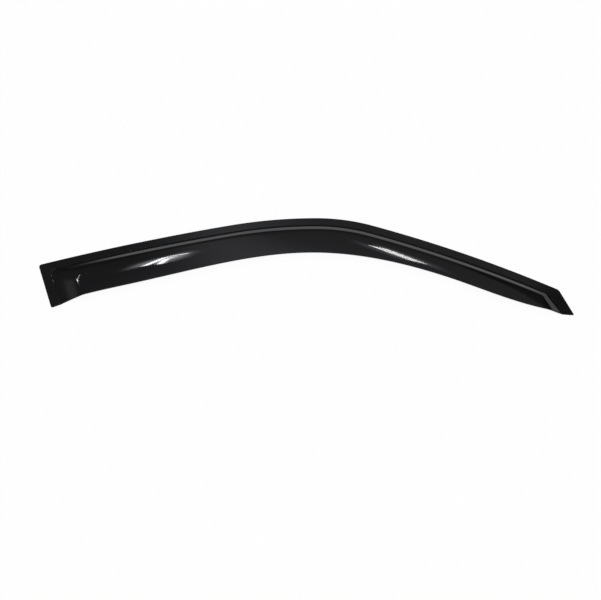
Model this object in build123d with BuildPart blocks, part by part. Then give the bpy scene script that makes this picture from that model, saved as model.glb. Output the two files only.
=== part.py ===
"""Window rain deflector for a front side door, one moulded shell of smoked acrylic.

The shell lies as it rests on its flange: +X runs forward to the tip that reaches down the
windscreen pillar, +Y to the top edge that follows the door frame, and +Z outward from the car.
The origin is under the middle of the outline. All sizes are millimetres and degrees.
"""

import os
from math import cos, degrees, radians, sin

from build123d import *

# Skin of the shell, how far its blade stands off the door, and the share of the skin rounded at the rim
skin = 2.6
standoff = 17.5
rim_rounding = 0.3

# Top edge, as arcs back from its crest along the roof and forward down the windscreen pillar
roof_bend_radius = 825
roof_bend_length = 150
roof_rail_radius = 3900
roof_rail_length = 331
pillar_bend_radius = 340
pillar_bend_length = 98
pillar_radius = 2150
pillar_length = 329

# Straight ends, each leaning forward as it runs down from the top edge
rear_end_length = 81.5
rear_end_lean = 23
tip_end_length = 48
tip_end_lean = 24

# Free edge: its distance from the top edge along the rail, at the crest and along the pillar,
# and its heading where it meets each end
rail_width = 76.5
crest_width = 70
pillar_width = 56.5
rear_heading = 22
tip_heading = -3

# Corners of the outline
rear_top_corner = 4
rear_low_corner = 2
tip_top_corner = 9
tip_low_corner = 1.5

# Flange that lies against the door frame; the one at the tip narrows from this width at the top edge
top_flange = 13.5
rear_flange = 15
tip_flange = 20.5

# Wall that rises from the flange, and the crowned blade that it carries
wall_slope = 38
base_radius = 2
shoulder_radius = 28
crown_radius = 150
crown_offset = 60

# Ramps that close the two ends, and the rounding of the ridges where they meet the wall and blade;
# the ramp at the tip leans further forward than the end itself
rear_slope = 18
rear_ridge_radius = 26
tip_ramp_lean = 31
tip_slope = 34
tip_ridge_radius = 26

# Working shapes run past the finished outline by these
overrun = rear_end_length
margin = 2 * skin
depth = 2 * standoff
reach = max(rail_width, crest_width, pillar_width, rear_end_length) + 3 * margin


def top_edge(extra=0):
    """Return the top edge with its crest at the origin and both arms longer by extra."""
    with BuildLine() as edge:
        bend_angle = degrees(roof_bend_length / roof_bend_radius)
        bend = JernArc((0, 0), (-1, 0), roof_bend_radius, bend_angle)
        rail_angle = degrees((roof_rail_length + extra) / roof_rail_radius)
        JernArc(bend @ 1, bend % 1, roof_rail_radius, rail_angle)
        knee_angle = degrees(pillar_bend_length / pillar_bend_radius)
        knee = JernArc((0, 0), (1, 0), pillar_bend_radius, -knee_angle)
        pillar_angle = degrees((pillar_length + extra) / pillar_radius)
        JernArc(knee @ 1, knee % 1, pillar_radius, -pillar_angle)
    return edge


def heading(angle):
    """Return the unit step at that angle from forward, in the plane of the flange."""
    return Vector(cos(radians(angle)), sin(radians(angle)))


def across(arc, fraction, width):
    """Return the point at width from an arc of the top edge, square to it and toward the blade."""
    start = arc @ fraction
    return start + (arc.arc_center - start).normalized() * width


# Outline of the whole shell, seen from outside
roof_rail, roof_bend, pillar_bend, pillar = top_edge().edges().sort_by(Axis.X)
top_corners = top_edge().vertices().sort_by(Axis.X)
rear_top = Vector(*top_corners[0])
tip_top = Vector(*top_corners[-1])
rear_down = heading(rear_end_lean - 90)
tip_down = heading(tip_end_lean - 90)
rear_low = rear_top + rear_down * rear_end_length
tip_low = tip_top + tip_down * tip_end_length
crest_low = across(roof_bend, 0, crest_width)
with BuildSketch() as outline:
    with BuildLine():
        add([roof_rail, roof_bend, pillar_bend, pillar])
        Line(tip_top, tip_low)
        Spline(
            rear_low,
            across(roof_rail, 0.5, rail_width),
            crest_low,
            across(pillar, 0.5, pillar_width),
            tip_low,
            tangents=(heading(rear_heading), heading(tip_heading)),
        )
        Line(rear_low, rear_top)
    make_face()
    for corner, corner_radius in (
        (rear_top, rear_top_corner),
        (rear_low, rear_low_corner),
        (tip_top, tip_top_corner),
        (tip_low, tip_low_corner),
    ):
        fillet(outline.vertices().sort_by_distance(corner)[0], corner_radius)
outline_box = outline.sketch.bounding_box()

# Each ramp: the outline's corner that it starts from, the way down its end and the way in from it,
# the flange outside it, its slope and the rounding of its ridge
ramps = (
    (rear_top, rear_down, heading(rear_end_lean), rear_flange, rear_slope, rear_ridge_radius),
    (tip_top, tip_down, heading(tip_ramp_lean + 180), tip_flange, tip_slope, tip_ridge_radius),
)


def block_under(inset, spread):
    """Return all that lies under the shell's outer face when that face moves in by inset.

    The block goes out to the outline widened by spread, and down past the plane of the flange.
    """
    path = top_edge(overrun).wire()
    tangent = path % 0
    section = Plane(path @ 0, x_dir=Vector(0, 0, 1).cross(tangent), z_dir=tangent)
    climb = heading(wall_slope)
    foot = Vector(top_flange, skin) + heading(wall_slope - 90) * inset
    low = foot - climb * ((foot.Y + depth) / climb.Y)
    high = foot + climb * (depth / climb.Y)
    flange_level = skin - inset
    with BuildPart() as block:
        # Wall and crowned blade, carried along the top edge
        with BuildSketch(section) as profile:
            with BuildLine():
                Polyline(low, high, (reach, high.Y), (reach, low.Y), close=True)
            make_face()
            with Locations((crown_offset, standoff - crown_radius)):
                Circle(crown_radius - inset, mode=Mode.INTERSECT)
            fillet(profile.vertices().sort_by(Axis.X)[1], shoulder_radius - inset)
        sweep(path=path)
        # Ramps at both ends, with rounded ridges
        for corner, down, inward, flange, slope, ridge_radius in ramps:
            normal = Vector(0, 0, cos(radians(slope))) - inward * sin(radians(slope))
            start = corner + inward * flange + Vector(0, 0, skin)
            ramp = Plane(start - normal * inset, x_dir=down, z_dir=normal)
            split(bisect_by=ramp, keep=Keep.BOTTOM)
            ridge = block.faces().filter_by(ramp)[0].edges().sort_by_distance(corner)[0]
            fillet(ridge, ridge_radius - inset)
        # Flange all round, cut to the outline, with a rounded foot to the wall and ramps
        with BuildSketch(Plane.XY.offset(-depth)):
            with Locations(outline_box.center()):
                Rectangle(outline_box.size.X + 4 * margin, outline_box.size.Y + 4 * margin)
        extrude(amount=depth + flange_level)
        with BuildSketch(Plane.XY.offset(-depth)):
            add(outline.sketch)
            if spread:
                offset(amount=spread)
        extrude(amount=2 * depth, mode=Mode.INTERSECT)
        flange_face = block.faces().filter_by(Plane.XY).sort_by(Axis.Z)[-1]
        fillet(flange_face.edges().sort_by_distance(crest_low)[0], base_radius + inset)
    return block


# The shell is what lies between its outer face and the same face one skin further in
outer = block_under(inset=0, spread=0)
inner = block_under(inset=skin, spread=margin)
with BuildPart() as deflector_shell:
    with Locations(-outline_box.center()):
        add(outer.part)
        add(inner.part, mode=Mode.SUBTRACT)
    back, front = deflector_shell.faces().filter_by(Plane.XY).sort_by(Axis.Z)
    rims = [face.edges().sort_by(Axis.Y)[-1] for face in (back, front)]
    fillet(rims, rim_rounding * skin)

os.makedirs("parts", exist_ok=True)
deflector_shell.part.label = "deflector_shell"
export_step(deflector_shell.part, "parts/deflector_shell.step")
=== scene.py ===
"""Dress the window rain deflector: a finely moulded shell of smoked acrylic in a plain white studio.

Sizes are millimetres and degrees unless a name says otherwise, and the finished piece is in metres.
Plan points are measured from the crest of the top edge, with x forward and y up the door.
"""

from __future__ import annotations

import logging
from dataclasses import dataclass, field
from enum import Enum
from math import atan2, cos, pi, radians, sin, tan
from typing import Any, Iterable, Optional, Union

import bmesh
import bpy
import numpy as np
from mathutils import Matrix, Vector


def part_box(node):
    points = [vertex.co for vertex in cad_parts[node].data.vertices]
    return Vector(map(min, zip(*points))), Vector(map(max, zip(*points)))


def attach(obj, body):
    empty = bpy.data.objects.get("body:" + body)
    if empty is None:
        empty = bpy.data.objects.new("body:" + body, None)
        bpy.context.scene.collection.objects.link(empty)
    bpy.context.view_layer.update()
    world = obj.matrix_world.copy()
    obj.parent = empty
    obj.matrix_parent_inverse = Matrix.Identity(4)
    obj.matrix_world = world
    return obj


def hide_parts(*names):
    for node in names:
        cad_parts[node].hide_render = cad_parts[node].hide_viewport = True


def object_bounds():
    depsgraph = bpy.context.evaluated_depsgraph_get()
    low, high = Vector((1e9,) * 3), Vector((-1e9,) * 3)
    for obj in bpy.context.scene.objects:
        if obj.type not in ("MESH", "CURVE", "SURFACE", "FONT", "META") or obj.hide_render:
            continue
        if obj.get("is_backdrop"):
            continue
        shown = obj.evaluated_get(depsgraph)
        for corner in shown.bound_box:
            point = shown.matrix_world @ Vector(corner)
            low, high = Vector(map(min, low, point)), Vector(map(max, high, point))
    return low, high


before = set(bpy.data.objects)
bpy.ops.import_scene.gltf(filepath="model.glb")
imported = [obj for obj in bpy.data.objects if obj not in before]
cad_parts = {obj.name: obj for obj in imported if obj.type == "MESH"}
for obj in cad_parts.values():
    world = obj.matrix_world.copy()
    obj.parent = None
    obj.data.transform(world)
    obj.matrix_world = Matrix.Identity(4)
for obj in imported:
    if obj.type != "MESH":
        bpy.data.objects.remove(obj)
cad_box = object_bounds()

MM = 0.001
NODE = "deflector_shell"
SLOT = "smoked_acrylic"
BODY = "root"

RIGHT = (1.0, 0.0, 0.0)
LEFT = (-1.0, 0.0, 0.0)
BEHIND = (0.0, 1.0, 0.0)
NEAR = (0.0, -1.0, 0.0)
UP = (0.0, 0.0, 1.0)
DOWN = (0.0, 0.0, -1.0)

log = logging.getLogger("deflector")

Points = np.ndarray
Colour = tuple[float, float, float]


def heading(angle: float) -> Points:
    """Return the unit plan step at an angle from forward, in degrees."""
    return np.array([cos(radians(angle)), sin(radians(angle))])


def walked(line: Points) -> Points:
    """Return how far along a line each of its points lies."""
    return np.concatenate([[0], np.cumsum(np.linalg.norm(np.diff(line, axis=0), axis=1))])


class Way(Enum):
    """Which way an arm of the top edge runs from the crest."""

    REAR = -1
    FORWARD = 1


@dataclass(frozen=True)
class EdgeArm:
    """One arm of the top edge: a bend at the crest, then a longer and flatter arc."""

    way: Way
    bend_radius: float
    bend_length: float
    run_radius: float
    run_length: float

    @property
    def length(self) -> float:
        """Length of the arm from the crest to its end."""
        return self.bend_length + self.run_length

    @property
    def middle(self) -> float:
        """Distance from the crest to the middle of the flatter run."""
        return self.bend_length + self.run_length / 2

    @property
    def bend_turn(self) -> float:
        """Angle that the bend turns through, in radians."""
        return self.bend_length / self.bend_radius

    def spoke(self, turn: Union[float, Points]) -> Points:
        """Return the unit way out from an arc's centre where the edge has turned by that angle."""
        return np.stack([self.way.value * np.sin(turn), np.cos(turn)], axis=-1)

    @property
    def centres(self) -> tuple[Points, Points]:
        """Centres of the bend and of the flatter run."""
        bend = np.array([0.0, -self.bend_radius])
        run = bend + (self.bend_radius - self.run_radius) * self.spoke(self.bend_turn)
        return bend, run

    def point(self, distance: Union[float, Points]) -> Points:
        """Return the edge's points at those distances from the crest."""
        distance = np.asarray(distance, float)
        bend, run = self.centres
        turn = np.minimum(distance, self.bend_length) / self.bend_radius
        on_bend = bend + self.bend_radius * self.spoke(turn)
        turn = self.bend_turn + (distance - self.bend_length) / self.run_radius
        on_run = run + self.run_radius * self.spoke(turn)
        return np.where((distance <= self.bend_length)[..., None], on_bend, on_run)

    def depth(self, points: Points) -> tuple[Points, Points]:
        """Measure points below this arm.

        Args:
            points: Plan points under the arm.

        Returns:
            Each point's distance below the edge, and the unit way down, square to the edge.
        """
        from_bend, from_run = (points - centre for centre in self.centres)
        turn = np.arctan2(self.way.value * from_bend[..., 0], from_bend[..., 1])
        bent = turn <= self.bend_turn
        bend_reach = np.linalg.norm(from_bend, axis=-1)
        run_reach = np.linalg.norm(from_run, axis=-1)
        below = np.where(bent, self.bend_radius - bend_reach, self.run_radius - run_reach)
        down_bend = -from_bend / bend_reach[..., None]
        down_run = -from_run / run_reach[..., None]
        return below, np.where(bent[..., None], down_bend, down_run)

    def under(self, distance: float, width: float) -> Points:
        """Return the point at a width below the edge, square to it."""
        start = self.point(distance)
        _, down = self.depth(start)
        return start + down * width


@dataclass(frozen=True)
class ShellEnd:
    """One straight end of the shell, with the ramp that closes it.

    Attributes:
        length: Length of the end's straight edge, from top corner to low corner.
        lean: Angle by which the end leans forward as it runs down.
        inward_turn: Angle from the lean to the way in up the ramp.
        top_corner: Radius of the outline at the top of the end.
        low_corner: Radius of the outline at the foot of the end.
        free_heading: Heading of the free edge where it meets the end.
        free_pull: How far the free edge holds that heading, against its length.
        flange: Width of the flange outside the ramp, at the top of the end.
        slope: Slope of the ramp.
        ridge: Rounding of the ridge between the ramp and the blade.
    """

    length: float
    lean: float
    inward_turn: float
    top_corner: float
    low_corner: float
    free_heading: float
    free_pull: float
    flange: float
    slope: float
    ridge: float

    @property
    def down(self) -> Points:
        """Unit way down the end."""
        return heading(self.lean - 90)

    @property
    def inward(self) -> Points:
        """Unit way in up the ramp."""
        return heading(self.lean + self.inward_turn)

    def edge(self, top: Points, step: float) -> Points:
        """Return close points down the end from its sharp top corner."""
        return top + np.linspace(0, self.length, int(self.length / step))[:, None] * self.down


@dataclass(frozen=True)
class Outline:
    """Plan outline of the shell, as its top edge, its two ends and the free edge of the blade."""

    roof: EdgeArm = EdgeArm(
        Way.REAR, bend_radius=825, bend_length=150, run_radius=3900, run_length=331)
    pillar: EdgeArm = EdgeArm(
        Way.FORWARD, bend_radius=340, bend_length=98, run_radius=2150, run_length=329)
    rear: ShellEnd = ShellEnd(
        length=81.5, lean=23, inward_turn=0, top_corner=4, low_corner=2,
        free_heading=22, free_pull=0.966, flange=15, slope=18, ridge=26)
    tip: ShellEnd = ShellEnd(
        length=48, lean=24, inward_turn=187, top_corner=9, low_corner=1.5,
        free_heading=-3, free_pull=1.065, flange=20.5, slope=34, ridge=26)
    rail_width: float = 76.5
    crest_width: float = 70
    pillar_width: float = 56.5
    sample_step: float = 0.25
    corner_samples: int = 48

    @property
    def rear_top(self) -> Points:
        """Sharp corner where the roof arm ends."""
        return self.roof.point(self.roof.length)

    @property
    def tip_top(self) -> Points:
        """Sharp corner where the pillar arm ends."""
        return self.pillar.point(self.pillar.length)

    def depth(self, points: Points) -> tuple[Points, Points]:
        """Return how far points lie below the top edge, and the way down to them."""
        behind, behind_down = self.roof.depth(points)
        ahead, ahead_down = self.pillar.depth(points)
        rear = points[..., 0] < 0
        return np.where(rear, behind, ahead), np.where(rear[..., None], behind_down, ahead_down)

    def free_edge(self) -> Points:
        """Return the free edge of the blade from rear to tip, as close points on a smooth curve."""
        marks = np.array([
            self.rear_top + self.rear.down * self.rear.length,
            self.roof.under(self.roof.middle, self.rail_width),
            self.pillar.under(0, self.crest_width),
            self.pillar.under(self.pillar.middle, self.pillar_width),
            self.tip_top + self.tip.down * self.tip.length,
        ])
        start = heading(self.rear.free_heading) * self.rear.free_pull
        end = heading(self.tip.free_heading) * self.tip.free_pull
        return smooth_curve(marks, start, end, self.sample_step)

    def sides(self, inset: float) -> dict[str, Side]:
        """Trace the outline, moved in by an inset, as four sides that meet half-way round its corners.

        Args:
            inset: How far inside the true outline the sides run.

        Returns:
            The top, tip, free and rear sides; top and free run forward, the ends run down.
        """
        steps = int(self.roof.length / self.sample_step)
        back = self.roof.point(np.linspace(self.roof.length, 0, steps))
        steps = int(self.pillar.length / self.sample_step)
        ahead = self.pillar.point(np.linspace(0, self.pillar.length, steps))
        lines = {
            "top": np.concatenate([back, ahead[1:]]),
            "tip": self.tip.edge(self.tip_top, self.sample_step),
            "free": self.free_edge()[::-1],
            "rear": self.rear.edge(self.rear_top, self.sample_step)[::-1],
        }
        radii = (self.rear.top_corner, self.tip.top_corner, self.tip.low_corner, self.rear.low_corner)
        names = list(lines)
        corners = {}
        for before, name, radius in zip(names[-1:] + names, names, radii):
            corners[name] = Corner(lines[before], lines[name], radius)
        sides = {}
        for name, after in zip(names, names[1:] + names[:1]):
            ends = corners[name], corners[after]
            sides[name] = Side.trace(lines[name], *ends, inset, self.corner_samples)
        for name in ("free", "rear"):
            sides[name] = sides[name].reversed()
        return sides


def smooth_curve(marks: Points, start: Points, end: Points, step: float) -> Points:
    """Run a cubic curve through marks, with an even bend at each and set ways in and out.

    Args:
        marks: Points that the curve passes through.
        start: Way out of the first mark, of unit length for a plain pull.
        end: Way into the last mark.
        step: Distance between the points returned.

    Returns:
        Points along the curve.
    """
    knots = walked(marks)
    spans = np.diff(knots)
    count = len(marks)
    system = np.eye(count)
    ways = np.zeros((count, 2))
    ways[0], ways[-1] = start, end
    chords = np.diff(marks, axis=0) / spans[:, None]
    for i in range(1, count - 1):
        before, after = spans[i - 1], spans[i]
        system[i, i - 1:i + 2] = after, 2 * (before + after), before
        ways[i] = 3 * (after * chords[i - 1] + before * chords[i])
    ways = np.linalg.solve(system, ways)
    at = np.linspace(0, knots[-1], int(knots[-1] / step))
    span = np.clip(np.searchsorted(knots, at, side="right") - 1, 0, count - 2)
    width = spans[span][:, None]
    share = (at - knots[span])[:, None] / width
    rest = 1 - share
    held = (1 + 2 * share) * rest**2 * marks[span] + (1 + 2 * rest) * share**2 * marks[span + 1]
    pulled = rest**2 * share * ways[span] - share**2 * rest * ways[span + 1]
    return held + width * pulled


@dataclass(frozen=True)
class Corner:
    """A rounded corner of the outline, where one line ends and the next starts."""

    before: Points
    after: Points
    radius: float

    @property
    def ways(self) -> tuple[Points, Points]:
        """Unit ways along the line before and the line after, at the sharp corner."""
        into = self.before[-1] - self.before[-2]
        out = self.after[1] - self.after[0]
        return into / np.linalg.norm(into), out / np.linalg.norm(out)

    @property
    def outward(self) -> tuple[float, float]:
        """Angles of the outward normals where the rounding starts and ends, turning right."""
        into, out = self.ways
        first = atan2(into[0], -into[1])
        last = atan2(out[0], -out[1])
        return first, last

    @property
    def trim(self) -> float:
        """Length that the rounding takes off each line."""
        into, out = self.ways
        turn = np.arccos(np.clip(into @ out, -1, 1))
        return self.radius * tan(turn / 2)

    @property
    def centre(self) -> Points:
        """Centre of the rounding."""
        into, _ = self.ways
        inward = np.array([into[1], -into[0]])
        return self.before[-1] - into * self.trim + inward * self.radius


@dataclass(frozen=True)
class Side:
    """One side of the outline, as close points with their outward normals."""

    points: Points
    normals: Points

    @classmethod
    def trace(cls, line: Points, before: Corner, after: Corner, inset: float, samples: int) -> Side:
        """Follow a line between the middles of two rounded corners, keeping the shell on the right.

        Args:
            line: The side's sharp line.
            before: Corner at its start.
            after: Corner at its end.
            inset: How far to move in from the line.
            samples: Points on each half corner.

        Returns:
            The traced side.
        """
        walk = walked(line)
        kept = (walk > before.trim) & (walk < walk[-1] - after.trim)
        way = np.gradient(line, axis=0)
        way /= np.linalg.norm(way, axis=1)[:, None]
        normals = np.stack([-way[:, 1], way[:, 0]], axis=1)[kept]
        points = line[kept] - normals * inset
        spans = ((before, 0.5, 1.0, False), (after, 0.0, 0.5, True))
        for corner, low, high, at_end in spans:
            first, last = corner.outward
            turn = (last - first + np.pi) % (2 * np.pi) - np.pi
            angles = first + turn * np.linspace(low, high, samples)
            arc_normals = np.stack([np.cos(angles), np.sin(angles)], axis=1)
            arc = corner.centre + arc_normals * (corner.radius - inset)
            order = (points, arc) if at_end else (arc, points)
            normal_order = (normals, arc_normals) if at_end else (arc_normals, normals)
            points = np.concatenate(order)
            normals = np.concatenate(normal_order)
        return cls(points, normals)

    def reversed(self) -> Side:
        """Return the same side run the other way."""
        return Side(self.points[::-1], self.normals[::-1])

    def at(self, fractions: Points) -> tuple[Points, Points]:
        """Return points and outward normals at those fractions of the side's length."""
        walk = walked(self.points)
        where = fractions * walk[-1]
        points, normals = (
            np.stack([np.interp(where, walk, values) for values in rows.T], axis=-1)
            for rows in (self.points, self.normals))
        return points, normals / np.linalg.norm(normals, axis=-1, keepdims=True)


Stretches = tuple[tuple[float, float], ...]


@dataclass(frozen=True)
class Spacing:
    """Steps between the lines of the blank.

    Attributes:
        first: Stretches in from the first edge, each with the distance it reaches and its step.
        last: Stretches in from the last edge.
        middle: Number of even steps between them.
    """

    first: Stretches
    last: Stretches
    middle: int

    @staticmethod
    def marks(stretches: Stretches) -> Points:
        """Return the lines' distances from the edge that some stretches start at."""
        marks = [0.0]
        for reach, step in stretches:
            count = max(1, round((reach - marks[-1]) / step))
            marks.extend(np.linspace(marks[-1], reach, count + 1)[1:])
        return np.array(marks)

    def fractions(self, lengths: Points) -> Points:
        """Return the lines as fractions of each of some lengths."""
        lengths = np.asarray(lengths, float)[..., None]
        first = self.marks(self.first) / lengths
        last = 1 - self.marks(self.last)[::-1] / lengths
        share = np.linspace(0, 1, self.middle + 1)[1:-1]
        middle = first[..., -1:] + (last[..., :1] - first[..., -1:]) * share
        return np.concatenate([first, middle, last], axis=-1)


@dataclass(frozen=True)
class Blank:
    """Flat sheet of acrylic cut to the outline, ready to be moulded.

    Attributes:
        outline: The outline that it is cut to.
        rim: Rounding left for the rim, outside the flat grid.
        length: Length that the columns are spaced over.
        columns: Lines along the length, closest at the foot of each ramp.
        rows: Lines across, closest at the foot of the wall.
    """

    outline: Outline
    rim: float
    length: float = 900
    columns: Spacing = Spacing(
        ((0.3, 0.3), (13, 2), (15.4, 0.15), (84, 1.2)),
        ((0.3, 0.3), (13, 2), (24, 0.4), (90, 1.2)), 230)
    rows: Spacing = Spacing(
        ((0.3, 0.3), (11.3, 2.5), (14.7, 0.2), (40, 1)),
        ((0.3, 0.3),), 14)

    def grid(self) -> tuple[Points, Points]:
        """Spread lines between the four sides.

        Returns:
            Plan points as columns by rows, and outward normals that are zero away from the rim.
        """
        sides = self.outline.sides(self.rim)
        along = self.columns.fractions(self.length)
        top, top_normals = sides["top"].at(along)
        free, free_normals = sides["free"].at(along)
        down = self.rows.fractions(np.linalg.norm(free - top, axis=1))
        rear, rear_normals = sides["rear"].at(down)
        tip, tip_normals = sides["tip"].at(down)
        u, v = along[:, None, None], down[..., None]
        between = (1 - v) * top[:, None] + v * free[:, None] + (1 - u) * rear + u * tip
        upper = (1 - u) * top[0] + u * top[-1]
        lower = (1 - u) * free[0] + u * free[-1]
        points = between - (1 - v) * upper - v * lower
        normals = np.zeros_like(points)
        normals[0], normals[-1] = rear_normals[0], tip_normals[-1]
        normals[:, 0], normals[:, -1] = top_normals, free_normals
        return points, normals

    def mesh(self, name: str) -> bpy.types.Mesh:
        """Make the flat mesh, with what the mould needs to know stored on its points."""
        points, normals = self.grid()
        columns, rows = points.shape[:2]
        index = np.arange(columns * rows).reshape(columns, rows)
        faces = np.stack([index[:-1, :-1], index[:-1, 1:], index[1:, 1:], index[1:, :-1]], axis=-1)
        flat = points.reshape(-1, 2)
        below, way = self.outline.depth(flat)
        mesh = bpy.data.meshes.new(name)
        level = np.zeros((len(flat), 1))
        mesh.from_pydata(np.hstack([flat, level]).tolist(), [], faces.reshape(-1, 4).tolist())
        store_on(mesh, "below_top", below)
        store_on(mesh, "way_down", np.hstack([way, level]))
        store_on(mesh, "outward", np.hstack([normals.reshape(-1, 2), level]))
        return mesh


def store_on(mesh: bpy.types.Mesh, name: str, values: Points) -> None:
    """Store one number, or a row of three as a vector, on each point of a mesh."""
    kind, key = ("FLOAT", "value") if values.ndim == 1 else ("FLOAT_VECTOR", "vector")
    attribute = mesh.attributes.new(name, kind, "POINT")
    attribute.data.foreach_set(key, values.astype(np.float32).ravel())


Number = Union["Value", float]
Settings = Optional[dict[str, Any]]
Inputs = Optional[dict[Union[str, int], Any]]


class Value:
    """A number socket of a node tree, which Python sums turn into Math nodes."""

    def __init__(self, graph: Graph, socket: bpy.types.NodeSocket) -> None:
        """Hold a socket of a graph."""
        self.graph = graph
        self.socket = socket

    def math(self, operation: str, *others: Number) -> Value:
        """Return the result of a Math node on this and other numbers."""
        return self.graph.math(operation, self, *others)

    def __add__(self, other: Number) -> Value:
        """Add."""
        return self.math("ADD", other)

    def __radd__(self, other: float) -> Value:
        """Add to a plain number."""
        return self.graph.math("ADD", other, self)

    def __sub__(self, other: Number) -> Value:
        """Subtract."""
        return self.math("SUBTRACT", other)

    def __rsub__(self, other: float) -> Value:
        """Subtract from a plain number."""
        return self.graph.math("SUBTRACT", other, self)

    def __mul__(self, other: Number) -> Value:
        """Multiply."""
        return self.math("MULTIPLY", other)

    def __rmul__(self, other: float) -> Value:
        """Multiply a plain number."""
        return self.graph.math("MULTIPLY", other, self)

    def __truediv__(self, other: Number) -> Value:
        """Divide."""
        return self.math("DIVIDE", other)

    def __rtruediv__(self, other: float) -> Value:
        """Divide a plain number."""
        return self.graph.math("DIVIDE", other, self)

    def __neg__(self) -> Value:
        """Turn the sign round."""
        return self.math("MULTIPLY", -1.0)

    def __gt__(self, other: Number) -> Value:
        """Return 1 where this is greater, and 0 elsewhere."""
        return self.math("GREATER_THAN", other)

    def __lt__(self, other: Number) -> Value:
        """Return 1 where this is less, and 0 elsewhere."""
        return self.math("LESS_THAN", other)

    def root(self) -> Value:
        """Return the square root."""
        return self.math("SQRT")

    def ease(self, low: float, high: float) -> Value:
        """Return a smooth rise from 0 to 1 as this goes from low to high."""
        return self.graph.value("ShaderNodeMapRange", 0, {"interpolation_type": "SMOOTHSTEP"},
                                {0: self, 1: low, 2: high, 3: 0.0, 4: 1.0})

    def choose(self, yes: Number, no: Number) -> Value:
        """Return one number where this is 1 and another where it is 0."""
        return self.graph.math("MULTIPLY_ADD", self, self.graph.math("SUBTRACT", yes, no), no)


class Graph:
    """A node tree with one way to add a node."""

    def __init__(self, tree: bpy.types.NodeTree) -> None:
        """Hold a node tree."""
        self.tree = tree

    @classmethod
    def of(cls, owner: Union[bpy.types.Material, bpy.types.World]) -> Graph:
        """Clear the nodes of a new material or world, and hold its tree."""
        owner.use_nodes = True
        owner.node_tree.nodes.clear()
        return cls(owner.node_tree)

    def node(self, kind: str, settings: Settings = None, inputs: Inputs = None) -> bpy.types.Node:
        """Add a node.

        Args:
            kind: The node's type.
            settings: Properties to set first, with stops for a colour ramp.
            inputs: Values, sockets or Values for its input sockets, by name or place.

        Returns:
            The new node.
        """
        made = self.tree.nodes.new(kind)
        for name, setting in (settings or {}).items():
            if name == "stops":
                self.set_stops(made.color_ramp, setting)
            else:
                setattr(made, name, setting)
        for name, value in (inputs or {}).items():
            if isinstance(value, Value):
                value = value.socket
            if isinstance(value, bpy.types.NodeSocket):
                self.tree.links.new(value, made.inputs[name])
            else:
                made.inputs[name].default_value = value
        return made

    @staticmethod
    def set_stops(ramp: bpy.types.ColorRamp, stops: Iterable[tuple[float, Colour]]) -> None:
        """Give a colour ramp its stops, in order."""
        for place, (position, colour) in enumerate(stops):
            while len(ramp.elements) <= place:
                ramp.elements.new(1.0)
            ramp.elements[place].position = position
            ramp.elements[place].color = (*colour, 1.0)

    def math(self, operation: str, *numbers: Number) -> Value:
        """Return the result of a Math node."""
        made = self.node("ShaderNodeMath", {"operation": operation}, dict(enumerate(numbers)))
        return Value(self, made.outputs[0])

    def value(self, kind: str, output: Union[str, int], settings: Settings = None,
              inputs: Inputs = None) -> Value:
        """Add a node and return one of its outputs as a number."""
        return Value(self, self.node(kind, settings, inputs).outputs[output])

    def parts(self, vector: bpy.types.NodeSocket) -> tuple[Value, Value, Value]:
        """Return the three numbers of a vector."""
        split = self.node("ShaderNodeSeparateXYZ", inputs={0: vector})
        return tuple(Value(self, out) for out in split.outputs)

    def vector(self, x: Number, y: Number, z: Number) -> bpy.types.NodeSocket:
        """Return a vector made of three numbers."""
        return self.node("ShaderNodeCombineXYZ", inputs={0: x, 1: y, 2: z}).outputs[0]

    def blend(self, share: Value, low: Colour, high: Colour) -> bpy.types.NodeSocket:
        """Return a colour between two, by a share from 0 to 1."""
        ends = {6: (*low, 1.0), 7: (*high, 1.0)}
        return self.node("ShaderNodeMix", {"data_type": "RGBA"}, {"Factor": share, **ends}).outputs[2]


@dataclass(frozen=True)
class Face:
    """A sloping face over the plan: its height, and how fast that rises along x and y."""

    height: Number
    rise_x: Number
    rise_y: Number

    def flipped(self) -> Face:
        """Return the face turned upside down."""
        return Face(-self.height, -self.rise_x, -self.rise_y)


@dataclass(frozen=True)
class Section:
    """Sizes of the moulded section: the flange, the wall that rises from it and the crowned blade."""

    skin: float = 2.6
    standoff: float = 17.5
    rim_rounding: float = 0.3
    top_flange: float = 13.5
    wall_slope: float = 38
    base_radius: float = 2
    shoulder_radius: float = 28
    crown_radius: float = 150
    crown_offset: float = 60

    @property
    def rim(self) -> float:
        """Radius of the rounded rim."""
        return self.rim_rounding * self.skin

    @property
    def foot(self) -> tuple[float, float]:
        """Heights at which the rounded foot of the wall starts and ends."""
        return self.skin, self.skin + self.base_radius * (1 - cos(radians(self.wall_slope)))


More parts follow.
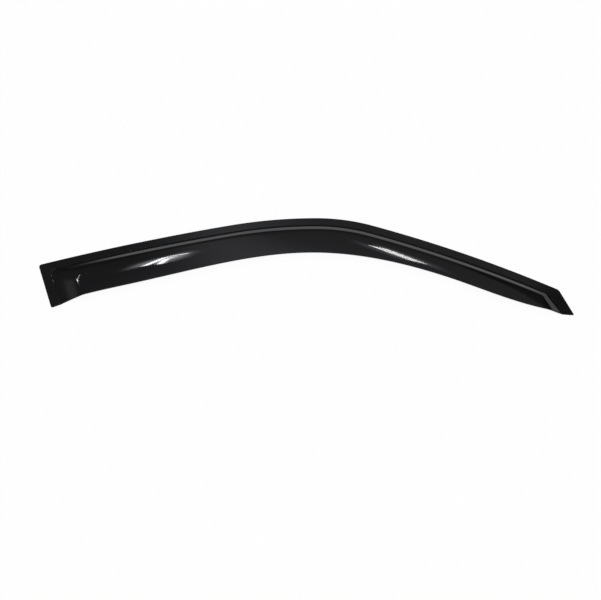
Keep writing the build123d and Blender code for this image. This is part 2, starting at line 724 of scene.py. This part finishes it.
class Mould:
    """Node tree that raises a flat blank to the shell's section and gives it its skin.

    The same rule shapes the outer face and, one skin further in, the inner face. The rim is drawn
    from one to the other in rounded steps.
    """

    RIM_STEPS = 4
    MERGE_DISTANCE = 1e-3

    def __init__(self, section: Section, outline: Outline) -> None:
        """Build the tree, with a named input for each size.

        Args:
            section: Sizes of the section.
            outline: Outline whose ends set the ramps.
        """
        self.group = bpy.data.node_groups.new("mould_shell", "GeometryNodeTree")
        self.graph = Graph(self.group)
        self.sizes: dict[str, float] = {
            "Skin": section.skin,
            "Standoff": section.standoff,
            "Rim": section.rim,
            "Top Flange": section.top_flange,
            "Wall Slope": radians(section.wall_slope),
            "Base Radius": section.base_radius,
            "Shoulder Radius": section.shoulder_radius,
            "Crown Radius": section.crown_radius,
            "Crown Offset": section.crown_offset,
        }
        ends = (("Rear", outline.rear, outline.rear_top), ("Tip", outline.tip, outline.tip_top))
        for name, end, corner in ends:
            self.sizes[f"{name} Flange"] = end.flange
            self.sizes[f"{name} Slope"] = radians(end.slope)
            self.sizes[f"{name} Ridge"] = end.ridge
            self.sizes[f"{name} Inward X"], self.sizes[f"{name} Inward Y"] = end.inward
            self.sizes[f"{name} Edge"] = float(corner @ end.inward)
        self.identifiers: dict[str, str] = {}
        interface = self.group.interface
        interface.new_socket("Geometry", in_out="INPUT", socket_type="NodeSocketGeometry")
        for name in self.sizes:
            made = interface.new_socket(name, in_out="INPUT", socket_type="NodeSocketFloat")
            self.identifiers[name] = made.identifier
        made = interface.new_socket("Acrylic", in_out="INPUT", socket_type="NodeSocketMaterial")
        self.identifiers["Acrylic"] = made.identifier
        interface.new_socket("Geometry", in_out="OUTPUT", socket_type="NodeSocketGeometry")
        self.source = self.graph.node("NodeGroupInput")
        self.lay_out()

    def size(self, name: str) -> Value:
        """Return one of the tree's named inputs."""
        return Value(self.graph, self.source.outputs[name])

    def stored(self, name: str, kind: str) -> bpy.types.NodeSocket:
        """Return what the blank or the tree stored on the points under a name."""
        return self.graph.node("GeometryNodeInputNamedAttribute", {"data_type": kind},
                               {"Name": name}).outputs["Attribute"]

    def store(self, geometry: bpy.types.NodeSocket, name: str, kind: str,
              value: Union[Value, bpy.types.NodeSocket]) -> bpy.types.NodeSocket:
        """Store a value on the points under a name."""
        return self.graph.node("GeometryNodeStoreNamedAttribute", {"data_type": kind, "domain": "POINT"},
                               {"Geometry": geometry, "Name": name, "Value": value}).outputs[0]

    def section_face(self, inset: Number) -> Face:
        """Shape the wall, shoulder and crown under the top edge.

        Args:
            inset: How far in from the outer face.

        Returns:
            The face that they make together.
        """
        graph, size = self.graph, self.size
        below = Value(graph, self.stored("below_top", "FLOAT"))
        down_x, down_y, _ = graph.parts(self.stored("way_down", "FLOAT_VECTOR"))
        rise, run = size("Wall Slope").math("SINE"), size("Wall Slope").math("COSINE")
        reach = size("Crown Radius") - size("Shoulder Radius")
        crown_level = size("Standoff") - size("Crown Radius")
        start_x = size("Top Flange") + rise * size("Shoulder Radius") - size("Crown Offset")
        start_y = size("Skin") - run * size("Shoulder Radius") - crown_level
        climb = -(start_x * run + start_y * rise)
        climb = climb + (climb * climb - start_x * start_x - start_y * start_y + reach * reach).root()
        out_x, out_y = start_x + climb * run, start_y + climb * rise
        shoulder_x, shoulder_y = out_x + size("Crown Offset"), out_y + crown_level
        shoulder, crown = size("Shoulder Radius") - inset, size("Crown Radius") - inset
        on_wall = below < shoulder_x - shoulder * rise
        on_crown = below > shoulder_x + shoulder * out_x / reach
        foot_x, foot_y = size("Top Flange") + rise * inset, size("Skin") - run * inset
        wall = foot_y + (below - foot_x) * rise / run
        to_shoulder, to_crown = below - shoulder_x, below - size("Crown Offset")
        shoulder_rise = (shoulder * shoulder - to_shoulder * to_shoulder).root()
        crown_rise = (crown * crown - to_crown * to_crown).root()
        height = on_wall.choose(wall, shoulder_y + shoulder_rise)
        height = on_crown.choose(crown_level + crown_rise, height)
        slope = on_wall.choose(rise / run, -to_shoulder / shoulder_rise)
        slope = on_crown.choose(-to_crown / crown_rise, slope)
        return Face(height, slope * down_x, slope * down_y)

    def ramp_face(self, end: str, inset: Number) -> Face:
        """Shape the ramp that closes an end.

        Args:
            end: Name of the end, as its inputs start.
            inset: How far in from the outer face.

        Returns:
            The ramp's face.
        """
        x, y, _ = self.graph.parts(self.graph.node("GeometryNodeInputPosition").outputs[0])
        inward_x, inward_y = self.size(f"{end} Inward X"), self.size(f"{end} Inward Y")
        steep = self.size(f"{end} Slope").math("TANGENT")
        flat = self.size(f"{end} Slope").math("COSINE")
        inside = x * inward_x + y * inward_y - self.size(f"{end} Edge") - self.size(f"{end} Flange")
        height = self.size("Skin") + inside * steep - inset / flat
        return Face(height, inward_x * steep, inward_y * steep)

    def rounded_lower(self, first: Face, second: Face, radius: Number) -> Face:
        """Join two faces at the lower of them, with the ridge between rounded as a ball would roll.

        Args:
            first: One face.
            second: The other.
            radius: Radius of the rounding.

        Returns:
            The joined face.
        """
        first_lean = 1 / (first.rise_x * first.rise_x + first.rise_y * first.rise_y + 1).root()
        second_lean = 1 / (second.rise_x * second.rise_x + second.rise_y * second.rise_y + 1).root()
        agree = first.rise_x * second.rise_x + first.rise_y * second.rise_y + 1
        agree = agree * first_lean * second_lean
        first_gap = radius - first.height * first_lean
        second_gap = radius - second.height * second_lean
        first_lead = first_gap - agree * second_gap
        second_lead = second_gap - agree * first_gap
        square = first_lean * (first_lean - agree * second_lean)
        square = square + second_lean * (second_lean - agree * first_lean)
        middle = first_lean * first_lead + second_lean * second_lead
        rest = first_gap * first_lead + second_gap * second_lead
        rest = rest - radius * radius * (1 - agree * agree)
        under = middle * middle - square * rest
        height = (under.root() - middle) / square
        first_reach = first_lean * height + first_gap
        second_reach = second_lean * height + second_gap
        first_share = first_reach - agree * second_reach
        second_share = second_reach - agree * first_reach
        rounded = (first_share > 0.0) * (second_share > 0.0) * (under > 0.0)
        lower = first.height < second.height
        first_pull, second_pull = first_share * first_lean, second_share * second_lean
        pull = first_pull + second_pull
        rises = []
        for axis in ("rise_x", "rise_y"):
            one, two = getattr(first, axis), getattr(second, axis)
            bent = (one * first_pull + two * second_pull) / pull
            rises.append(rounded.choose(bent, lower.choose(one, two)))
        joined = rounded.choose(height, lower.choose(first.height, second.height))
        return Face(joined, *rises)

    def level(self, inset: Number) -> Value:
        """Return the height of the whole face, moved in by an inset."""
        face = self.section_face(inset)
        for end in ("Rear", "Tip"):
            ridge = self.size(f"{end} Ridge") - inset
            face = self.rounded_lower(face, self.ramp_face(end, inset), ridge)
        flat = self.graph.value("ShaderNodeValue", 0)
        flange = Face(inset - self.size("Skin"), flat, flat)
        return -self.rounded_lower(face.flipped(), flange, self.size("Base Radius") + inset).height

    def lay_out(self) -> None:
        """Lay the tree out: outer face, rounded rim, inner face, then one welded and dressed skin."""
        graph = self.graph
        flat = self.source.outputs["Geometry"]
        for name, inset in (("outer", 0.0), ("inner", self.size("Skin"))):
            flat = self.store(flat, name, "FLOAT", self.level(inset))
        place = graph.node("GeometryNodeInputPosition").outputs[0]
        flat = self.store(flat, "flat", "FLOAT_VECTOR", place)
        levels = {name: Value(graph, self.stored(name, "FLOAT")) for name in ("outer", "inner")}
        faces = {}
        for name, level in levels.items():
            rise = graph.vector(0.0, 0.0, level)
            faces[name] = graph.node("GeometryNodeSetPosition",
                                     inputs={"Geometry": flat, "Offset": rise}).outputs[0]
        skin = faces["outer"]
        faces_beside = graph.value("GeometryNodeInputMeshEdgeNeighbors", 0)
        ring = (faces_beside < 2.0).socket
        for level, turn in self.rim_turns(levels):
            drawn = graph.node("GeometryNodeExtrudeMesh", {"mode": "EDGES"},
                               {"Mesh": skin, "Selection": ring, "Offset Scale": 0.0})
            ring = drawn.outputs["Top"]
            skin = graph.node("GeometryNodeSetPosition", inputs={
                "Geometry": drawn.outputs["Mesh"], "Selection": ring,
                "Position": self.rim_place(level, turn)}).outputs[0]
        under = graph.node("GeometryNodeFlipFaces", inputs={"Mesh": faces["inner"]}).outputs[0]
        joined = graph.node("GeometryNodeJoinGeometry")
        for part in (under, skin):
            self.group.links.new(part, joined.inputs[0])
        welded = graph.node("GeometryNodeMergeByDistance",
                            inputs={"Geometry": joined.outputs[0], "Distance": self.MERGE_DISTANCE})
        scaled = graph.node("GeometryNodeTransform",
                            inputs={"Geometry": welded.outputs[0], "Scale": (MM, MM, MM)})
        smooth = graph.node("GeometryNodeSetShadeSmooth", inputs={0: scaled.outputs[0]})
        real = graph.node("GeometryNodeRealizeInstances", inputs={0: smooth.outputs[0]})
        dressed = graph.node("GeometryNodeSetMaterial", inputs={
            "Geometry": real.outputs[0], "Material": self.source.outputs["Acrylic"]})
        graph.node("NodeGroupOutput", inputs={0: dressed.outputs[0]})

    def rim_turns(self, levels: dict[str, Value]) -> Iterable[tuple[Value, float]]:
        """Yield each ring of the rim as the height it hangs from and its turn round the rounding."""
        rim = self.size("Rim")
        turns = [radians(90) * step / self.RIM_STEPS for step in range(1, self.RIM_STEPS + 1)]
        for turn in turns:
            yield levels["outer"] - rim * (1 - cos(turn)), turn
        for turn in reversed([0.0] + turns):
            yield levels["inner"] + rim * (1 - cos(turn)), turn

    def rim_place(self, level: Value, turn: float) -> bpy.types.NodeSocket:
        """Return where a ring of the rim lies."""
        graph = self.graph
        x, y, _ = graph.parts(self.stored("flat", "FLOAT_VECTOR"))
        out_x, out_y, _ = graph.parts(self.stored("outward", "FLOAT_VECTOR"))
        reach = self.size("Rim") * sin(turn)
        return graph.vector(x + out_x * reach, y + out_y * reach, level)

    def apply(self, piece: bpy.types.Object, material: bpy.types.Material) -> None:
        """Mould a piece: run the tree on its blank and keep the result as its plain mesh.

        Args:
            piece: Object whose mesh is the blank.
            material: Finish that the tree sets.
        """
        modifier = piece.modifiers.new("mould", "NODES")
        modifier.node_group = self.group
        for name, size in self.sizes.items():
            modifier[self.identifiers[name]] = size
        modifier[self.identifiers["Acrylic"]] = material
        graph = bpy.context.evaluated_depsgraph_get()
        moulded = bpy.data.meshes.new_from_object(piece.evaluated_get(graph))
        piece.modifiers.remove(modifier)
        blank = piece.data
        piece.data = moulded
        bpy.data.meshes.remove(blank)


@dataclass(frozen=True)
class Bound:
    """A soft edge across directions or places: full past the high mark along an axis."""

    axis: tuple[float, float, float]
    low: float
    high: float

    def inside(self, graph: Graph, vector: bpy.types.NodeSocket) -> Value:
        """Return how far a direction or place is past the edge, from 0 to 1."""
        along = graph.value("ShaderNodeVectorMath", "Value", {"operation": "DOT_PRODUCT"},
                            {0: vector, 1: self.axis})
        return along.ease(self.low, self.high)


def within(graph: Graph, vector: bpy.types.NodeSocket, bounds: tuple[Bound, ...]) -> Value:
    """Return how far a direction or place is inside all of some bounds, from 0 to 1."""
    inside, *others = (bound.inside(graph, vector) for bound in bounds)
    for other in others:
        inside = inside * other
    return inside


@dataclass(frozen=True)
class Mottle:
    """Soft uneven pattern over a surface: how close its patches are, and how fine."""

    scale: float
    detail: float

    def level(self, graph: Graph, place: bpy.types.NodeSocket) -> Value:
        """Return the pattern's level at a place, from 0 to 1."""
        return graph.value("ShaderNodeTexNoise", "Fac", inputs={
            "Vector": place, "Scale": self.scale, "Detail": self.detail})


@dataclass(frozen=True)
class SmokedAcrylic:
    """Gloss finish of very dark smoked acrylic.

    Attributes:
        deep: Colour of the smoke where it is densest.
        thin: Colour where the drawn sheet is a little thinner.
        gloss: Roughness of the polished face.
        haze: How much roughness the faint haze adds.
        refraction: Index of refraction of acrylic.
        cloud: Pattern of the thinner places and of the haze.
        peel: Pattern of the faint waves that moulding leaves.
        peel_height: Height of those waves, in metres.
        foot_margin: Height over the flange at which the foot of the wall turns dull, in metres.
        foot_fade: Height over the foot in which the wall turns glossy, in metres.
        foot_ahead: Edge of the dull foot ahead of the rear ramp, in metres.
        foot_dullness: How much roughness the foot adds, where the mould leaves the sheet dull.
    """

    deep: Colour = (0.0031, 0.0030, 0.0030)
    thin: Colour = (0.0044, 0.0045, 0.0050)
    gloss: float = 0.03
    haze: float = 0.025
    refraction: float = 1.49
    cloud: Mottle = Mottle(scale=9.0, detail=3.0)
    peel: Mottle = Mottle(scale=55.0, detail=1.0)
    peel_height: float = 0.000004
    foot_margin: float = 3e-7
    foot_fade: float = 0.0003
    foot_ahead: Bound = Bound(RIGHT, -0.41, -0.39)
    foot_dullness: float = 0.9

    def dull_bounds(self, section: Section) -> tuple[Bound, ...]:
        """Return the bounds of the foot of the wall that is dull."""
        low, high = (level * MM for level in section.foot)
        over = Bound(UP, low + self.foot_margin, low + 3 * self.foot_margin)
        under = Bound(DOWN, -high - self.foot_fade, -high)
        return over, under, self.foot_ahead

    def material(self, name: str, section: Section) -> bpy.types.Material:
        """Make the material.

        Args:
            name: Name of the material.
            section: Section of the shell, whose foot is dull.

        Returns:
            The material.
        """
        made = bpy.data.materials.new(name)
        graph = Graph.of(made)
        place = graph.node("ShaderNodeTexCoord").outputs["Object"]
        cloud = self.cloud.level(graph, place)
        dull = within(graph, place, self.dull_bounds(section))
        bump = graph.node("ShaderNodeBump", inputs={
            "Strength": 1.0, "Distance": self.peel_height, "Height": self.peel.level(graph, place)})
        surface = graph.node("ShaderNodeBsdfPrincipled", inputs={
            "Base Color": graph.blend(cloud, self.deep, self.thin),
            "Roughness": self.gloss + cloud * self.haze + dull * self.foot_dullness,
            "IOR": self.refraction,
            "Normal": bump.outputs[0]})
        graph.node("ShaderNodeOutputMaterial", inputs={"Surface": surface.outputs[0]})
        return made


@dataclass
class DeflectorShell:
    """The deflector's one piece: a shell of smoked acrylic that stands for the CAD solid."""

    outline: Outline = field(default_factory=Outline)
    section: Section = field(default_factory=Section)
    finish: SmokedAcrylic = field(default_factory=SmokedAcrylic)
    piece: Optional[bpy.types.Object] = None

    def crest(self) -> Vector:
        """Return the crest of the top edge in the frame, from the CAD solid's own box."""
        low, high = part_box(NODE)
        sides = self.outline.sides(0.0)
        ahead = max(side.points[:, 0].max() for side in sides.values())
        return Vector((high.x - ahead * MM, high.y, low.z))

    def build(self) -> bpy.types.Object:
        """Cut the blank, mould it and set the piece in its place."""
        blank = Blank(self.outline, self.section.rim)
        self.piece = bpy.data.objects.new("moulded_shell", blank.mesh("moulded_shell"))
        bpy.context.scene.collection.objects.link(self.piece)
        material = self.finish.material(SLOT, self.section)
        Mould(self.section, self.outline).apply(self.piece, material)
        mesh = self.piece.data
        for name in ("below_top", "way_down", "outward", "outer", "inner", "flat"):
            if name in mesh.attributes:
                mesh.attributes.remove(mesh.attributes[name])
        mesh.transform(Matrix.Translation(self.crest()))
        self.face_outward(mesh)
        return self.piece

    @staticmethod
    def face_outward(mesh: bpy.types.Mesh) -> None:
        """Turn every face of the closed shell outward."""
        work = bmesh.new()
        work.from_mesh(mesh)
        bmesh.ops.recalc_face_normals(work, faces=work.faces)
        work.to_mesh(mesh)
        work.free()

    def dress(self) -> None:
        """Tie the piece to its body, and hide the solid that it stands for."""
        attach(self.piece, BODY)
        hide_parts(NODE)


@dataclass(frozen=True)
class Strip:
    """A level strip light that faces down.

    Attributes:
        start: Plan point of one end, from the crest.
        end: Plan point of the other end.
        width: Width of the strip.
        light: Radiance of its face.
    """

    start: tuple[float, float]
    end: tuple[float, float]
    width: float
    light: float

    def build(self, name: str, crest: Vector, height: float, mirrored: bool = True) -> None:
        """Hang the strip at a height over the crest.

        Args:
            name: Name of the light.
            crest: Crest of the shell's top edge.
            height: Height over the floor.
            mirrored: Whether the strip can be seen in gloss.
        """
        start, end = Vector(self.start), Vector(self.end)
        run = end - start
        middle = (start + end) / 2
        data = bpy.data.lights.new(name, "AREA")
        data.shape = "RECTANGLE"
        data.size, data.size_y = run.length * MM, self.width * MM
        data.energy = self.light * pi * data.size * data.size_y
        lamp = bpy.data.objects.new(name, data)
        lamp.location = crest + Vector((middle.x, middle.y, height)) * MM
        lamp.rotation_euler = (0.0, 0.0, atan2(run.y, run.x))
        lamp.visible_glossy = mirrored
        bpy.context.scene.collection.objects.link(lamp)


@dataclass(frozen=True)
class Louvre:
    """A row of short strips side by side, as in a slatted lamp.

    Attributes:
        start: Plan point of the middle of the first strip, from the crest.
        end: Plan point of the middle of the last strip.
        count: Number of strips.
        length: Length of each strip.
        width: Width of each strip.
        light: Radiance of their faces.
    """

    start: tuple[float, float]
    end: tuple[float, float]
    count: int
    length: float
    width: float
    light: float

    def strips(self) -> list[Strip]:
        """Return the strips."""
        start, end = Vector(self.start), Vector(self.end)
        run = end - start
        half = Vector((-run.y, run.x)).normalized() * self.length / 2
        made = []
        for place in range(self.count):
            middle = start + run * place / (self.count - 1)
            made.append(Strip(tuple(middle - half), tuple(middle + half), self.width, self.light))
        return made


@dataclass(frozen=True)
class Shade:
    """A side that is dimmer, past a soft edge, by the share of light that it keeps."""

    edge: Bound
    kept: float

    def share(self, graph: Graph, vector: bpy.types.NodeSocket) -> Value:
        """Return the share of light that a direction or place keeps."""
        return 1 - self.edge.inside(graph, vector) * (1 - self.kept)


Edges = tuple[float, float, float, float]


@dataclass(frozen=True)
class Card:
    """A pale card in the room, as light from the directions within its bounds."""

    light: float
    bounds: tuple[Bound, ...]

    @classmethod
    def glow(cls, light: float, lean: float, across: Edges, behind: Edges) -> Card:
        """Make a card with soft edges on all four sides.

        Args:
            light: Light of the card where it is full.
            lean: How far the card slants, as its way behind against its way across.
            across: Where it starts, is full, starts to fade and ends, from left to right.
            behind: The same from the near side to the far side, less the slant.

        Returns:
            The card.
        """
        bounds = []
        for axis, edges in ((RIGHT, across), ((-lean, 1.0, 0.0), behind)):
            start, full, fading, end = edges
            back = tuple(-part for part in axis)
            bounds += [Bound(axis, start, full), Bound(back, -end, -fading)]
        return cls(light, tuple(bounds))

    def level(self, graph: Graph, direction: bpy.types.NodeSocket) -> Value:
        """Return the card's light from a direction."""
        return within(graph, direction, self.bounds) * self.light


@dataclass(frozen=True)
class Room:
    """Dim room round the studio, as light that comes from each direction.

    Attributes:
        levels: Light against the direction's upward part, from the horizon to overhead.
        low_tint: Tint near the horizon.
        high_tint: Tint overhead.
        shades: Dimmer sides, far to the left, far to the right and near on the right.
        cards: A pale strip of ceiling and wall behind, a little left of the middle, a pale card that
            the rear ramp mirrors, and the pale wall on the camera's side.
        glows: Soft light on the ceiling round the left lamp and the right lamp.
    """

    levels: tuple[tuple[float, float], ...] = (
        (0.0, 0.05), (0.26, 0.12), (0.42, 0.19), (0.64, 0.26), (0.87, 0.31), (1.0, 0.37))
    low_tint: Colour = (1.0, 0.98, 0.96)
    high_tint: Colour = (0.97, 0.99, 1.05)
    shades: tuple[Shade, ...] = (
        Shade(Bound(LEFT, 0.12, 0.36), 0.5),
        Shade(Bound(RIGHT, 0.478, 0.502), 0.27),
        Shade(Bound((0.8, -1.0, 0.0), 0.0, 0.1), 0.3),
    )
    cards: tuple[Card, ...] = (
        Card(0.31, (
            Bound((0.9563, 0.2924, 0.0), -0.17, 0.0),
            Bound((-0.9563, -0.2924, 0.0), -0.17, 0.0),
            Bound(UP, 0.1, 0.6),
            Bound(BEHIND, 0.0, 0.1),
        )),
        Card(0.33, (
            Bound((0.624, 0.236, 0.912), -0.002, 0.002),
            Bound((-0.634, -0.235, -0.896), -0.001, 0.003),
            Bound((-0.110, -0.994, 0.044), -0.002, 0.004),
        )),
        Card(0.6, (Bound(NEAR, 0.1, 0.7),)),
    )
    glows: tuple[Card, ...] = (
        Card.glow(5.5, 0.72, (-0.357, -0.296, -0.275, -0.232), (0.63, 0.694, 0.695, 0.786)),
        Card.glow(1.9, 0.98, (-0.272, -0.267, -0.266, -0.215), (0.655, 0.68, 0.785, 0.795)),
        Card.glow(1.55, -0.84, (0.197, 0.231, 0.237, 0.342), (0.676, 0.724, 0.758, 0.815)),
        Card.glow(0.83, -1.1, (0.119, 0.207, 0.219, 0.235), (0.643, 0.721, 0.748, 0.783)),
    )

    def build(self) -> None:
        """Light the room, and make it white where the camera looks past the floor."""
        world = bpy.data.worlds.new("room")
        graph = Graph.of(world)
        direction = graph.node("ShaderNodeTexCoord").outputs["Generated"]
        _, _, up = graph.parts(direction)
        stops = [(at, (level, level, level)) for at, level in self.levels]
        light = graph.value("ShaderNodeValToRGB", 0, {"stops": stops}, {"Fac": up})
        for shade in self.shades:
            light = light * shade.share(graph, direction)
        for card in (*self.cards, *self.glows):
            light = light + card.level(graph, direction)
        tint = graph.blend(up, self.low_tint, self.high_tint)
        lit = graph.node("ShaderNodeVectorMath", {"operation": "SCALE"},
                         {0: tint, "Scale": light}).outputs[0]
        dim = graph.node("ShaderNodeBackground", inputs={"Color": lit})
        white = graph.node("ShaderNodeBackground", inputs={"Color": (1.0, 1.0, 1.0, 1.0)})
        seen = graph.node("ShaderNodeLightPath").outputs["Is Camera Ray"]
        mixed = graph.node("ShaderNodeMixShader", inputs={0: seen, 1: dim.outputs[0], 2: white.outputs[0]})
        graph.node("ShaderNodeOutputWorld", inputs={"Surface": mixed.outputs[0]})
        bpy.context.scene.world = world


@dataclass(frozen=True)
class Studio:
    """Plain white studio: floor, dim room, strip lights and the camera.

    Attributes:
        floor_size: Side of the floor, in metres.
        floor_drop: Gap between the floor and the shell's flange, in metres.
        floor_colour: Colour of the floor.
        floor_seen: Share of plain white that the camera sees in the floor.
        floor_mirrored: Share of plain white that mirrors show in the floor.
        floor_shades: Painted shade on sides of the floor, which makes them dimmer in mirrors, by place in
            metres.
        room: Light of the room.
        lamp_height: Height of the lights over the floor.
        left_lamp: Tubes of the lamp on the left, and a bent one farther left for the rear ridge.
        right_lamp: The slatted lamp on the right.
        fill: Wide soft light straight overhead, not mirrored.
        camera_place: The camera from the crest, in millimetres.
        camera_tilt: Angle of its view from straight down.
        camera_focus: Focal length as a share of the picture's width.
    """

    floor_size: float = 12.0
    floor_drop: float = 0.0002
    floor_colour: Colour = (0.86, 0.86, 0.86)
    floor_seen: float = 0.95
    floor_mirrored: float = 0.77
    floor_shades: tuple[Shade, ...] = (
        Shade(Bound(LEFT, 0.31, 0.415), 0.1),
        Shade(Bound(RIGHT, 0.40, 0.43), 0.6),
    )
    room: Room = Room()
    lamp_height: float = 5000
    left_lamp: tuple[Strip, ...] = (
        Strip((-2099, 2430), (-2068, 3270), width=95, light=30),
        Strip((-1840, 2275), (-1950, 2870), width=90, light=30),
        Strip((-1945, 2870), (-1895, 3110), width=80, light=20),
        Strip((-2050, 3325), (-1745, 3290), width=90, light=24),
        Strip((-3312, 3112), (-4283, 2110), width=80, light=11),
        Strip((-4283, 2110), (-5813, 1350), width=80, light=13),
        Strip((-5813, 1350), (-7000, 1033), width=110, light=24),
    )
    right_lamp: Louvre = Louvre((1381, 3462), (1735, 2756), count=20, length=400, width=22, light=30)
    fill: Strip = Strip((-2000, 0), (2000, 0), width=4000, light=3.6)
    camera_place: tuple[float, float, float] = (-27.7, -395.6, 829.5)
    camera_tilt: float = 16.6
    camera_focus: float = 520 / 601

    def build(self, crest: Vector) -> None:
        """Set the studio up round the crest of the shell."""
        self.lay_floor()
        self.room.build()
        for strip in (*self.left_lamp, *self.right_lamp.strips()):
            strip.build("strip_light", crest, self.lamp_height)
        self.fill.build("soft_fill", crest, self.lamp_height, mirrored=False)
        self.set_camera(crest)
        bpy.context.scene.view_settings.view_transform = "Standard"

    def lay_floor(self) -> None:
        """Lay the pale floor."""
        half = self.floor_size / 2
        mesh = bpy.data.meshes.new("floor")
        corners = [(-half, -half), (half, -half), (half, half), (-half, half)]
        mesh.from_pydata([(x, y, -self.floor_drop) for x, y in corners], [], [(0, 1, 2, 3)])
        mesh.materials.append(self.floor_material())
        floor = bpy.data.objects.new("floor", mesh)
        bpy.context.scene.collection.objects.link(floor)
        floor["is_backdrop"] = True

    def floor_material(self) -> bpy.types.Material:
        """Make the floor's finish: pale, and near white to the camera and in mirrors."""
        made = bpy.data.materials.new("pale_floor")
        graph = Graph.of(made)
        path = graph.node("ShaderNodeLightPath").outputs
        seen, glossy, through = (
            Value(graph, path[f"Is {kind} Ray"]) for kind in ("Camera", "Glossy", "Transmission"))
        mirrored = glossy.math("MAXIMUM", through)
        share = mirrored.math("MAXIMUM", seen * self.floor_seen)
        place = graph.node("ShaderNodeNewGeometry").outputs["Position"]
        level = mirrored * (self.floor_mirrored - 1) + 1
        # Painted shade: the floor's glow is made dimmer on these sides, only as mirrors see it.
        for shade in self.floor_shades:
            level = level * mirrored.choose(shade.share(graph, place), 1.0)
        matt = graph.node("ShaderNodeBsdfDiffuse", inputs={"Color": (*self.floor_colour, 1.0)})
        white = graph.node("ShaderNodeEmission", inputs={"Color": graph.vector(level, level, level)})
        mixed = graph.node("ShaderNodeMixShader",
                           inputs={0: share, 1: matt.outputs[0], 2: white.outputs[0]})
        graph.node("ShaderNodeOutputMaterial", inputs={"Surface": mixed.outputs[0]})
        return made

    def set_camera(self, crest: Vector) -> None:
        """Place the camera, looking up the door and mostly down."""
        data = bpy.data.cameras.new("camera")
        data.lens = data.sensor_width * self.camera_focus
        camera = bpy.data.objects.new("camera", data)
        camera.location = crest + Vector(self.camera_place) * MM
        camera.rotation_euler = (radians(self.camera_tilt), 0.0, 0.0)
        bpy.context.scene.collection.objects.link(camera)
        bpy.context.scene.camera = camera


def write_sizes() -> None:
    """Gather the CAD model's box and the dressed model's box as plain lists."""
    boxes = {"cad": cad_box, "visual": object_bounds()}
    plain = {name: [list(low), list(high)] for name, (low, high) in boxes.items()}


def main() -> None:
    """Build the shell and the studio round it."""
    logging.basicConfig(level=logging.INFO, format="%(name)s: %(message)s")
    shell = DeflectorShell()
    piece = shell.build()
    shell.dress()
    log.info("%s has %d faces", piece.name, len(piece.data.polygons))
    Studio().build(shell.crest())
    log.info("studio set up")
    write_sizes()


if __name__ == "__main__":
    main()
